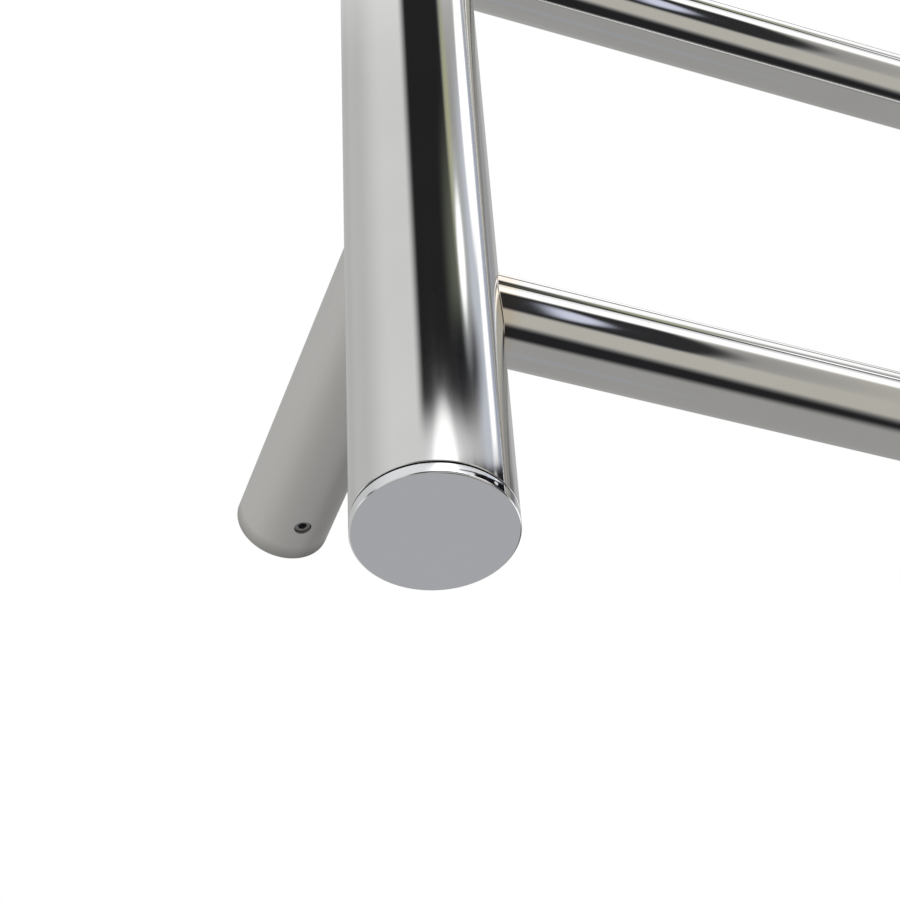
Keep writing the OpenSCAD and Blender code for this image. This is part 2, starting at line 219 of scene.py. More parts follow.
class Shader:
    """A Principled material with short helpers for its procedural nodes."""

    def __init__(self, name, colour, metallic=0.0, roughness=0.5):
        self.material = bpy.data.materials.new(name)
        self.material.use_nodes = True
        self.nodes = self.material.node_tree.nodes
        self.links = self.material.node_tree.links
        self.bsdf = self.nodes["Principled BSDF"]
        self.bsdf.inputs["Base Color"].default_value = (*colour, 1)
        self.bsdf.inputs["Metallic"].default_value = metallic
        self.bsdf.inputs["Roughness"].default_value = roughness
        self.where = self.nodes.new("ShaderNodeTexCoord")

    def noise(self, scale, stretch=(1, 1, 1), detail=3.0, rough=0.5):
        """Noise in object space, drawn out along the axes where stretch is small."""
        mapping = self.nodes.new("ShaderNodeMapping")
        mapping.inputs["Scale"].default_value = stretch
        self.links.new(self.where.outputs["Object"], mapping.inputs["Vector"])
        noise = self.nodes.new("ShaderNodeTexNoise")
        noise.inputs["Scale"].default_value = scale
        noise.inputs["Detail"].default_value = detail
        noise.inputs["Roughness"].default_value = rough
        self.links.new(mapping.outputs["Vector"], noise.inputs["Vector"])
        return noise.outputs["Fac"]

    def along(self, axis):
        """Position along an axis of the shared frame."""
        split = self.nodes.new("ShaderNodeSeparateXYZ")
        self.links.new(self.where.outputs["Object"], split.inputs["Vector"])
        return split.outputs[axis]

    def ramp(self, value, low, high, out_low, out_high):
        node = self.nodes.new("ShaderNodeMapRange")
        node.inputs["From Min"].default_value = low
        node.inputs["From Max"].default_value = high
        node.inputs["To Min"].default_value = out_low
        node.inputs["To Max"].default_value = out_high
        self.links.new(value, node.inputs["Value"])
        return node.outputs["Result"]

    def mix(self, value, colour_a, colour_b):
        node = self.nodes.new("ShaderNodeMix")
        node.data_type = "RGBA"
        for socket, colour in ((node.inputs["A"], colour_a), (node.inputs["B"], colour_b)):
            if isinstance(colour, tuple):
                socket.default_value = (*colour, 1)
            else:
                self.links.new(colour, socket)
        self.links.new(value, node.inputs["Factor"])
        return node.outputs["Result"]

    def add(self, a, b):
        node = self.nodes.new("ShaderNodeMath")
        node.operation = "ADD"
        self.links.new(a, node.inputs[0])
        self.links.new(b, node.inputs[1])
        return node.outputs["Value"]

    def bump(self, value, distance, strength=1.0):
        node = self.nodes.new("ShaderNodeBump")
        node.inputs["Distance"].default_value = distance
        node.inputs["Strength"].default_value = strength
        self.links.new(value, node.inputs["Height"])
        self.links.new(node.outputs["Normal"], self.bsdf.inputs["Normal"])

    def feed(self, socket, value):
        self.links.new(value, self.bsdf.inputs[socket])


def polished_tube(name, along, roughness, streak):
    """Polished stainless tube: along stretches its fine lines, and streak is how deep they are."""
    s = Shader(name, (0.78, 0.78, 0.77), 1.0, roughness)
    fine = s.noise(2600, along, 2.0, 0.6)
    broad = s.noise(420, along, 3.0, 0.55)
    cloud = s.noise(38, (1, 1, 1), 4.0, 0.6)
    s.feed("Roughness", s.ramp(s.add(broad, cloud), 0.7, 1.3, roughness * 0.75, roughness * 1.35))
    s.feed("Base Color", s.mix(s.ramp(cloud, 0.35, 0.65, 0, 1), (0.765, 0.765, 0.755), (0.79, 0.79, 0.785)))
    s.bump(s.add(fine, broad), streak)
    return s


def welded_tube():
    """The crossbars' finish, with a faint straw tint left by the welds at both ends."""
    s = polished_tube("polished_bar", (0.006, 1, 1), 0.035, 0.0000006)
    steel = s.bsdf.inputs["Base Color"].links[0].from_socket
    weld = POST_X - POST_R
    side = s.nodes.new("ShaderNodeMath")
    side.operation = "ABSOLUTE"
    s.links.new(s.along("X"), side.inputs[0])
    near = s.ramp(side.outputs["Value"], weld - 3 * MM, weld, 0, 0.45)
    s.feed("Base Color", s.mix(near, steel, (0.80, 0.66, 0.47)))
    return s.material


def mirror_cap():
    s = Shader("mirror_cap", (0.92, 0.93, 0.95), 1.0, 0.03)
    smudge = s.noise(60, (1, 1, 1), 5.0, 0.6)
    s.feed("Roughness", s.ramp(smudge, 0.35, 0.7, 0.01, 0.03))
    s.feed("Base Color", s.mix(smudge, (0.91, 0.92, 0.94), (0.93, 0.94, 0.96)))
    return s.material


def satin_steel():
    s = Shader("satin_steel", (0.74, 0.735, 0.72), 1.0, 0.42)
    grain = s.noise(1500, (1, 0.04, 1), 2.0, 0.6)
    cloud = s.noise(30, (1, 0.6, 1), 3.0, 0.55)
    s.feed("Roughness", s.ramp(s.add(grain, cloud), 0.7, 1.3, 0.37, 0.48))
    steel = s.mix(cloud, (0.72, 0.715, 0.70), (0.76, 0.755, 0.74))
    # Painted shade: the steel's colour darkens over the last 5 mm towards the wall end, standing in for the darker
    # reflection on the rounded end.
    painted_shade_near_wall = s.ramp(s.along("Y"), WALL_Y - 5 * MM, WALL_Y, 0, 1)
    s.feed("Base Color", s.mix(painted_shade_near_wall, steel, (0.42, 0.415, 0.40)))
    s.bump(grain, 0.000004)
    return s.material


def plain_metal(name, colour, roughness, grain_scale=900):
    """Turned or stamped metal with a fine grain and a little variation of tone."""
    s = Shader(name, colour, 1.0, roughness)
    grain = s.noise(grain_scale, (1, 1, 1), 3.0, 0.6)
    tone = s.noise(120, (1, 1, 1), 3.0, 0.5)
    darker = tuple(c * 0.86 for c in colour)
    s.feed("Base Color", s.mix(s.ramp(tone, 0.3, 0.7, 0, 1), darker, colour))
    s.feed("Roughness", s.ramp(grain, 0.3, 0.7, roughness * 0.8, roughness * 1.25))
    s.bump(grain, 0.000006)
    return s.material


def moulded(name, colour, roughness, texture=0.00002, scale=1400, coat=0.0):
    """Moulded plastic or rubber with a fine spark-eroded texture."""
    s = Shader(name, colour, 0.0, roughness)
    grain = s.noise(scale, (1, 1, 1), 2.0, 0.6)
    tone = s.noise(90, (1, 1, 1), 3.0, 0.5)
    lighter = tuple(min(1.0, c * 1.25 + 0.004) for c in colour)
    s.feed("Base Color", s.mix(tone, colour, lighter))
    s.feed("Roughness", s.ramp(grain, 0.3, 0.7, roughness * 0.85, roughness * 1.15))
    s.bsdf.inputs["Coat Weight"].default_value = coat
    s.bump(grain, texture)
    return s.material


MATERIALS = {
    "polished_steel": polished_tube("polished_post", (1, 1, 0.006), 0.045, 0.0000012).material,
    "polished_bar": welded_tube(),
    "mirror_cap": mirror_cap(),
    "satin_steel": satin_steel(),
    # Near black for the caps' necks: painted shade in the shadow groove.
    "seam_painted_shade": plain_metal("seam_painted_shade", (0.05, 0.05, 0.05), 0.6),
    "bracket_zinc": plain_metal("bracket_zinc", (0.60, 0.60, 0.60), 0.32),
    "fastener_steel": plain_metal("fastener_steel", (0.36, 0.36, 0.37), 0.4),
    "brass": plain_metal("brass", (0.80, 0.60, 0.28), 0.25),
    "nickel_brass": plain_metal("nickel_brass", (0.66, 0.65, 0.61), 0.2),
    "black_rubber": moulded("black_rubber", (0.018, 0.018, 0.018), 0.75, 0.00003, 900),
    "cable_sheath": moulded("cable_sheath", (0.42, 0.035, 0.025), 0.5),
    "lead_sheath": moulded("lead_sheath", (0.20, 0.17, 0.12), 0.5),
    "white_ceramic": moulded("white_ceramic", (0.80, 0.79, 0.75), 0.3, coat=0.3),
    "black_switch": moulded("black_switch", (0.014, 0.014, 0.015), 0.42),
    "red_lens": moulded("red_lens", (0.50, 0.012, 0.008), 0.12, 0.000004, coat=0.6),
    "print_white": moulded("print_white", (0.80, 0.80, 0.79), 0.5, 0.000004),
}

# ---- Posts, caps and crossbars ----

ROUND = 192
TUBE_EDGE = 0.2 * MM


def post(name, x):
    bore = POST_R - POST_WALL
    length = TUBE_HIGH - TUBE_LOW
    profile = (
        arc((POST_R - TUBE_EDGE, TUBE_EDGE), TUBE_EDGE, -90, 0, 4)
        + arc((POST_R - TUBE_EDGE, length - TUBE_EDGE), TUBE_EDGE, 0, 90, 4)
        + [(bore, length), (bore, 0)]
    )
    verts, faces = revolve(profile, upright(x, POST_Y, TUBE_LOW), ROUND, closed=True)
    obj = new_object(name + "_tube", verts, faces, MATERIALS["polished_steel"])
    return finish_piece(obj, RACK, [name])


def cap_profile():
    """The head, the shadow groove's neck and the spigot, from the face's rim inwards."""
    groove = abs(TUBE_LOW - RACK_LOW)
    spigot = POST_R - POST_WALL - SPIGOT_PLAY
    edge = 0.4 * MM
    lip = 0.12 * MM
    return (
        arc((POST_R - edge, edge), edge, -90, 0, 8)
        + arc((POST_R - lip, CAP_HEAD - lip), lip, 0, 90, 3)
        + [(CAP_NECK_R, CAP_HEAD), (CAP_NECK_R, groove), (spigot, groove), (spigot, groove + CAP_SPIGOT)]
    )


def paint_seam_shade(obj, x):
    """Paints the cap's neck, at the bottom of the shadow groove, near black: painted shade for the dark of the
    crevice.
    """
    obj.data.materials.append(MATERIALS["seam_painted_shade"])
    for face in obj.data.polygons:
        out = math.hypot(face.center.x - x, face.center.y - POST_Y)
        depth = min(face.center.z - RACK_LOW, RACK_HIGH - face.center.z)
        if depth > CAP_HEAD - 0.01 * MM and out > CAP_NECK_R - 1.5 * MM:
            face.material_index = 1


def end_cap(name, x, top):
    place = upright(x, POST_Y, RACK_HIGH if top else RACK_LOW, down=top)
    verts, faces = revolve(cap_profile(), place, ROUND, capped=True)
    obj = new_object(name + "_disc", verts, faces, MATERIALS["mirror_cap"])
    paint_seam_shade(obj, x)
    return finish_piece(obj, RACK, [name])


def flare(angle, tube_r):
    """Points of a small rolling-ball fillet where a tube meets a post, at one angle round the tube."""
    y = math.sin(angle)
    z = math.cos(angle)
    cy = (tube_r + WELD_R) * y
    cz = (tube_r + WELD_R) * z
    cx = math.sqrt((POST_R + WELD_R) ** 2 - cy ** 2)
    centre = Vector((cx, cy, cz))
    foot = POST_R / (POST_R + WELD_R)
    on_post = Vector((cx * foot, cy * foot, cz)) - centre
    on_tube = Vector((0, -WELD_R * y, -WELD_R * z))
    steps = 5
    points = []
    for i in range(steps + 1):
        bend = on_post.normalized().slerp(on_tube.normalized(), i / steps)
        points.append(centre + bend * WELD_R)
    return points


def root_reach(offset):
    """How far out from the post's axis a fillet's hidden root lies, at an offset across the tube."""
    return math.sqrt((POST_R - ROOT_DEPTH) ** 2 - offset ** 2)


def tube_rings(tube_r, inner_end, count):
    """Rings from inside the post out along a tube that leaves it along +X."""
    inner, sunk, fillets = [], [], []
    for k in range(count):
        a = TURN * k / count
        fillet = flare(a, tube_r)
        inner.append(Vector((inner_end, math.sin(a) * tube_r, math.cos(a) * tube_r)))
        sunk.append(Vector((root_reach(fillet[0].y), fillet[0].y, fillet[0].z)))
        fillets.append(fillet)
    return [inner, sunk] + [list(ring) for ring in zip(*fillets)]


def crossbar(name):
    count = 144
    centre = middle(name)
    half = span(name).x / 2
    bore = BAR_R - BAR_WALL
    inner_end = POST_X - half
    side_rings = tube_rings(BAR_R, inner_end, count)
    left = [[Vector((p.x - POST_X, p.y, p.z)) for p in ring] for ring in side_rings]
    right = [[Vector((POST_X - p.x, p.y, p.z)) for p in ring] for ring in reversed(side_rings)]
    angles = [TURN * k / count for k in range(count)]
    bores = [
        [Vector((x, bore * math.sin(a), bore * math.cos(a))) for a in angles]
        for x in (half, -half)
    ]
    rings = [[centre + p for p in ring] for ring in left + right + bores]
    verts, faces = loft(rings, closed=True)
    obj = new_object(name + "_tube", verts, faces, MATERIALS["polished_bar"])
    return finish_piece(obj, RACK, [name], angle=60)


# ---- Standoffs with their grub screws ----


def grub_place(x, z):
    """Places a profile with its axis out along a grub screw, from the standoff's axis."""
    lean = GRUB_LEAN if x < 0 else -GRUB_LEAN
    at = Matrix.Translation((x, WALL_Y - GRUB_FROM_WALL, z))
    return at @ Matrix.Rotation(-lean, 4, "Y") @ Matrix.Rotation(math.pi, 4, "X")


def drill(obj, place, r, start, end):
    """Cuts a round hole through a mesh along a placed axis."""
    verts, faces = revolve([(r, start), (r, end)], place, 40, capped=True)
    cutter = new_object("cutter", verts, faces, MATERIALS["satin_steel"])
    work = bmesh.new()
    work.from_mesh(cutter.data)
    bmesh.ops.recalc_face_normals(work, faces=work.faces)
    work.to_mesh(cutter.data)
    work.free()
    cut = obj.modifiers.new("hole", "BOOLEAN")
    cut.operation = "DIFFERENCE"
    cut.solver = "EXACT"
    cut.object = cutter
    bpy.context.view_layer.update()
    shape = bpy.data.meshes.new_from_object(obj.evaluated_get(bpy.context.evaluated_depsgraph_get()))
    obj.modifiers.clear()
    old = obj.data
    obj.data = shape
    bpy.data.meshes.remove(old)
    bpy.data.objects.remove(cutter)


def round_normals(obj, axis_point, axis, r):
    """Gives the outer round wall its true normals, so that the hole leaves no dents in the shading."""
    mesh = obj.data
    normals = [Vector(c.vector) for c in mesh.corner_normals]
    for face in mesh.polygons:
        for loop in face.loop_indices:
            p = mesh.vertices[mesh.loops[loop].vertex_index].co - axis_point
            out = p - axis * p.dot(axis)
            if abs(out.length - r) < 0.01 * MM and face.normal.dot(out.normalized()) > 0.9:
                normals[loop] = out.normalized()
    mesh.normals_split_custom_set([tuple(n) for n in normals])


def standoff(corner):
    name = "standoff_" + corner
    x, z = middle(name).x, middle(name).z
    count = 160
    end_edge = 1.2 * MM
    bore_edge = 0.2 * MM
    bore = STANDOFF_R - STANDOFF_WALL
    length = WALL_Y - POST_Y
    angles = [TURN * k / count for k in range(count)]
    fillets = [[Vector((p.y, p.x, p.z)) for p in flare(a, STANDOFF_R)] for a in angles]
    sunk = [Vector((f[0].x, root_reach(f[0].x), f[0].z)) for f in fillets]
    profile = arc((STANDOFF_R - end_edge, length - end_edge), end_edge, 0, 90, 8)
    profile += arc((bore + bore_edge, length - bore_edge), bore_edge, 90, 180, 3)
    profile += [(bore, POST_R + 2 * MM)]
    outer = [[Vector((r * math.sin(a), y, r * math.cos(a))) for a in angles] for r, y in profile]
    inner = [Vector((bore * math.sin(a), 0, bore * math.cos(a))) for a in angles]
    for p in inner:
        p.y = root_reach(p.x)
    place = Vector((x, POST_Y, z))
    rings = [sunk] + [list(ring) for ring in zip(*fillets)] + outer + [inner]
    verts, faces = loft([[place + p for p in ring] for ring in rings], closed=True)
    obj = new_object(name + "_tube", verts, faces, MATERIALS["satin_steel"])
    drill(obj, grub_place(x, z), GRUB_R + GRUB_PLAY, STANDOFF_R - 3 * MM, STANDOFF_R + 3 * MM)
    finish_piece(obj, RACK, [name], angle=50)
    obj.modifiers.clear()
    round_normals(obj, place, Vector((0, 1, 0)), STANDOFF_R)
    return obj


def grub_screw(corner):
    """A socket set screw: a threaded body with a rounded rim and a hexagon socket."""
    centre = middle("standoff_" + corner)
    top = STANDOFF_R - GRUB_SINK
    low = top - GRUB_LENGTH
    rim = 0.25 * MM
    pitch = 0.5 * MM
    thread_depth = 0.12 * MM
    profile = [(GRUB_R - 0.3 * MM, low), (GRUB_R, low + 0.4 * MM)]
    for i in range(6):
        base = low + 0.6 * MM + i * pitch
        profile += [(GRUB_R - thread_depth, base), (GRUB_R, base + pitch / 2)]
    profile += arc((GRUB_R - rim, top - rim), rim, 0, 90, 3)
    flats_r = 1.15 * MM * math.cos(math.pi / 6)
    return socket_screw(profile, grub_place(centre.x, centre.z), 48, flats_r, 1.8 * MM)


# ---- Inlet gland ----

AT_GLAND = towards_wall(middle("gland_body").x, middle("gland_body").z)


def nut_rings(flats, profile, count=120):
    """Rings of a hexagonal nut: its flats clipped by a turned profile of (largest radius, height)."""
    rings = []
    for limit, h in profile:
        ring = []
        for k in range(count):
            a = TURN * k / count
            r = min(limit, flats / 2 / math.cos(a % (math.pi / 3) - math.pi / 6))
            ring.append(AT_GLAND @ Vector((r * math.cos(a), r * math.sin(a), h)))
        rings.append(ring)
    return rings


def gland():
    """The gland's dome nut and its hexagonal body, both open right through for the cable."""
    low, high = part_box("gland_nut")
    nut_from = low.y - POST_Y
    nut_to = high.y - POST_Y
    flats = span("gland_nut").z
    corner = flats / math.sqrt(3)
    round_limit = flats * 2
    mouth = 3.9 * MM
    chamfer = 0.9 * MM
    shoulder = nut_to - 5 * MM
    dome_r = flats / 2 - 0.5 * MM
    dome_taper = 1.9 * MM
    rings = nut_rings(flats, [
        (mouth + 0.6 * MM, nut_from), (flats / 2, nut_from), (corner, nut_from + chamfer),
        (corner, shoulder - chamfer), (flats / 2, shoulder),
    ])
    dome = [(dome_r, shoulder + 0.1 * MM)]
    for i in range(1, 9):
        bend = i / 8 * math.pi / 2
        rise = (nut_to - shoulder) * math.sin(bend)
        dome.append((dome_r - dome_taper * (1 - math.cos(bend)), shoulder + rise))
    lip = 0.3 * MM
    dome += [(mouth + lip, nut_to), (mouth, nut_to - lip), (mouth, nut_from)]
    rings += nut_rings(round_limit, dome)
    nut = new_object("gland_dome_nut", *loft(rings, closed=True), MATERIALS["nickel_brass"])
    finish_piece(nut, RACK, ["gland_nut"], angle=28)

    thread_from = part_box("gland_body")[0].y - POST_Y
    hex_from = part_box("gland_seat")[1].y - POST_Y
    hex_to = hex_from + 3 * MM
    collar_to = hex_to + 7 * MM
    bore = 4.6 * MM
    thread = 6 * MM
    chamfer = 0.8 * MM
    rings = nut_rings(round_limit, [(bore, thread_from), (thread, thread_from), (thread, hex_from)])
    rings += nut_rings(flats, [
        (flats / 2, hex_from), (corner, hex_from + chamfer),
        (corner, hex_to - chamfer), (flats / 2, hex_to),
    ])
    rings += nut_rings(round_limit, [(thread, hex_to), (thread, collar_to), (bore, collar_to)])
    body = new_object("gland_hex_body", *loft(rings, closed=True), MATERIALS["nickel_brass"])
    finish_piece(body, RACK, ["gland_body"], angle=28)


# ---- Rocker switch ----

PIVOT = Vector(frame["joints"][0]["pos_m"])
TILT = math.radians(11)
AT_ROCKER = Matrix.Translation(PIVOT) @ Matrix.Rotation(TILT, 4, "X")
VALLEY = 1 * MM
ROCKER_R = 8.9 * MM
ROCKER_BACK = 4 * MM
BEZEL_H = 1.6 * MM
HOUSING_R = 10 * MM
HOUSING_TOP = 21 * MM
HOUSING_FLOOR = 9 * MM
HOUSING_BORE_R = 9.2 * MM
LENS_Y = 4.6 * MM


def rocker_face(y):
    """Depth of the rocker's face below its pivot, at a distance from the valley."""
    return -VALLEY - abs(y) * math.tan(TILT)


def switch_bezel():
    """The switch's housing with its rounded bezel, and the well that the rocker sits in."""
    r = span("switch_housing").x / 2
    edge = 0.7 * MM
    well_edge = 0.35 * MM
    core = 0.5 * MM
    profile = (
        arc((HOUSING_BORE_R + well_edge, well_edge), well_edge, 180, 270, 4)
        + arc((r - edge, edge), edge, -90, 0, 6)
        + [(r, BEZEL_H), (HOUSING_R, BEZEL_H), (HOUSING_R, HOUSING_TOP), (core, HOUSING_TOP)]
        + [(core, HOUSING_FLOOR), (HOUSING_BORE_R, HOUSING_FLOOR)]
    )
    place = upright(middle("switch_housing").x, POST_Y, RACK_LOW)
    verts, faces = revolve(profile, place, 128, closed=True)
    obj = new_object("switch_bezel", verts, faces, MATERIALS["black_switch"])
    return finish_piece(obj, RACK, ["switch_housing"])


def rocker_column(a):
    """Points down one column of the rocker, from near its middle over the rim to its flat back."""
    slope = abs(math.sin(a)) * math.tan(TILT)
    spread = 1 + slope ** 2
    fall = VALLEY * slope
    rim = (math.sqrt(fall ** 2 + spread * (ROCKER_R ** 2 - VALLEY ** 2)) - fall) / spread
    soft = 0.4 * MM
    edge = 0.25 * MM
    face_steps = 16
    wall_steps = 11
    edge_steps = 4
    face = []
    for i in range(1, face_steps + 1):
        r = (rim - edge) * i / face_steps
        across = math.hypot(r * math.sin(a), soft) - soft
        face.append(Vector((r * math.cos(a), r * math.sin(a), -VALLEY - across * math.tan(TILT))))
    corner = Vector((rim * math.cos(a), rim * math.sin(a), -VALLEY - rim * slope))
    front = math.asin(-corner.z / ROCKER_R) - edge / ROCKER_R
    back = math.asin(ROCKER_BACK / ROCKER_R)
    wall = []
    for i in range(wall_steps + 1):
        lift = front - (front + back) * i / wall_steps
        out = ROCKER_R * math.cos(lift)
        wall.append(Vector((out * math.cos(a), out * math.sin(a), -ROCKER_R * math.sin(lift))))
    bend = []
    for i in range(1, edge_steps):
        t = i / edge_steps
        bend.append(face[-1].lerp(corner, t).lerp(corner.lerp(wall[0], t), t))
    return face + bend + wall


def switch_rocker():
    """The rocker: a ball cut to two faces that meet in a shallow valley, with softened edges."""
    cols = 160
    columns = []
    for k in range(cols):
        turn = TURN * k / cols
        columns.append([AT_ROCKER @ p for p in rocker_column(turn - 0.3 * math.sin(2 * turn))])
    verts, faces = loft([list(ring) for ring in zip(*columns)], capped=True)
    pins = []
    for side in (-1, 1):
        turn = Matrix.Rotation(side * math.pi / 2, 4, "Y")
        pins.append(revolve([(1 * MM, 8.3 * MM), (1 * MM, 9.7 * MM), (0.9 * MM, 9.8 * MM)],
                            AT_ROCKER @ turn, 32, capped=True))
    obj = new_object("rocker_button", *joined([(verts, faces)] + pins), MATERIALS["black_switch"])
    return finish_piece(obj, ROCKER, ["switch_rocker"], angle=40)


def on_face(y):
    """Places a profile on the rocker's face at (0, y), with its axis out of the face."""
    slope = TILT if y > 0 else -TILT
    return AT_ROCKER @ Matrix.Translation((0, y, rocker_face(y))) @ Matrix.Rotation(math.pi - slope, 4, "X")


def pilot_lens():
    r = 1.5 * MM
    dome = 0.35 * MM
    proud = 0.05 * MM
    profile = [(r, -1.8 * MM), (r, proud)]
    for i in range(1, 7):
        bend = i / 6.5 * math.pi / 2
        profile.append((r * math.cos(bend), proud + dome * math.sin(bend)))
    verts, faces = revolve(profile, on_face(LENS_Y), 64, capped=True)
    obj = new_object("pilot_lens", verts, faces, MATERIALS["red_lens"])
    return finish_piece(obj, ROCKER, ["rocker_lens"])


def printed_marks():
    """The on and off marks: a bar and a ring, printed on the rocker's two faces."""
    thick = 0.04 * MM
    ring = [(1.0 * MM, -thick), (1.3 * MM, -thick), (1.3 * MM, thick), (1.0 * MM, thick)]
    off = revolve(ring, on_face(-LENS_Y), 64, closed=True)
    place = on_face(1.6 * MM)
    half_w = 0.16 * MM
    half_l = 0.7 * MM
    outline = arc((0, half_l - half_w), half_w, 0, 180, 8) + arc((0, -half_l + half_w), half_w, 180, 360, 8)
    bar = loft([[place @ Vector((x, y, h)) for x, y in outline] for h in (-thick, thick)], capped=True)
    obj = new_object("rocker_marks", *joined([off, bar]), MATERIALS["print_white"])
    return finish_piece(obj, ROCKER)


def switch_cap():
    """The end cap that holds the switch: the same head with a stepped panel hole."""
    web_top = 4.5 * MM
    spigot_bore = 13 * MM
    panel_r = 10.1 * MM
    seat_r = 11.55 * MM
    edge = 0.15 * MM
    spigot_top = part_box("switch_cap")[1].z - RACK_LOW
    profile = (
        cap_profile()
        + [(spigot_bore, spigot_top), (spigot_bore, web_top), (panel_r, web_top)]
        + [(panel_r, BEZEL_H), (seat_r, BEZEL_H)]
        + arc((seat_r + edge, edge), edge, 180, 270, 3)
    )
    place = upright(middle("switch_cap").x, POST_Y, RACK_LOW)
    verts, faces = revolve(profile, place, ROUND, closed=True)
    obj = new_object("switch_cap_ring", verts, faces, MATERIALS["mirror_cap"])
    paint_seam_shade(obj, middle("switch_cap").x)
    return finish_piece(obj, RACK, ["switch_cap"])


# ---- Earth screw ----


def earth_screw():
    """A pan-head screw with a hexagon socket, on the back of the right post."""
    shank_r = 2 * MM
    head_r = 3.5 * MM
    head_h = 2.4 * MM
    crown = 1.1 * MM
    centre = middle("earth_screw")
    low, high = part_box("earth_screw")
    top = high.y - POST_Y
    seat = top - head_h
    profile = [(shank_r, low.y - POST_Y), (shank_r, seat), (head_r - 0.2 * MM, seat)]
    profile += arc((head_r - crown, top - crown), crown, 0, 90, 6)
    place = towards_wall(centre.x, centre.z)
    verts, faces = socket_screw(profile, place, 60, 1.25 * MM, 1.2 * MM)
    obj = new_object("earth_screw_head", verts, faces, MATERIALS["brass"])
    return finish_piece(obj, RACK, ["earth_screw"])


# ---- Building the object ----


def finish_cad_nodes():
    """Gives every CAD node its material, and evens the shading of the turned wall brackets."""
    slots = {s["node"]: s["material_slot"] for s in frame["record"]["subparts"]}
    for name, obj in frame["nodes"].items():
        obj.data.materials.clear()
        obj.data.materials.append(MATERIALS[slots[name]])
    for corner in CORNERS:
        obj = frame["nodes"]["wall_bracket_" + corner]
        weld = obj.modifiers.new("weld", "WELD")
        weld.merge_threshold = 0.01 * MM
        normals = obj.modifiers.new("even_normals", "WEIGHTED_NORMAL")
        normals.keep_sharp = True


post("left_post", -POST_X)
post("right_post", POST_X)
end_cap("cap_top_left", -POST_X, True)
end_cap("cap_top_right", POST_X, True)
end_cap("cap_bottom_left", -POST_X, False)
switch_cap()
for bar_name in BARS:
    crossbar(bar_name)
for corner_name in CORNERS:
    standoff(corner_name)
screw_parts = joined([grub_screw(c) for c in CORNERS])
screws = new_object("grub_screw_set", *screw_parts, MATERIALS["fastener_steel"])
finish_piece(screws, RACK, ["grub_screws"], angle=30)
gland()
switch_bezel()
switch_rocker()
pilot_lens()
printed_marks()
earth_screw()
finish_cad_nodes()

# ---- Studio ----

FLOOR_DROP = 5.0
FADE_FROM = 6.0
FADE_TO = 8.5
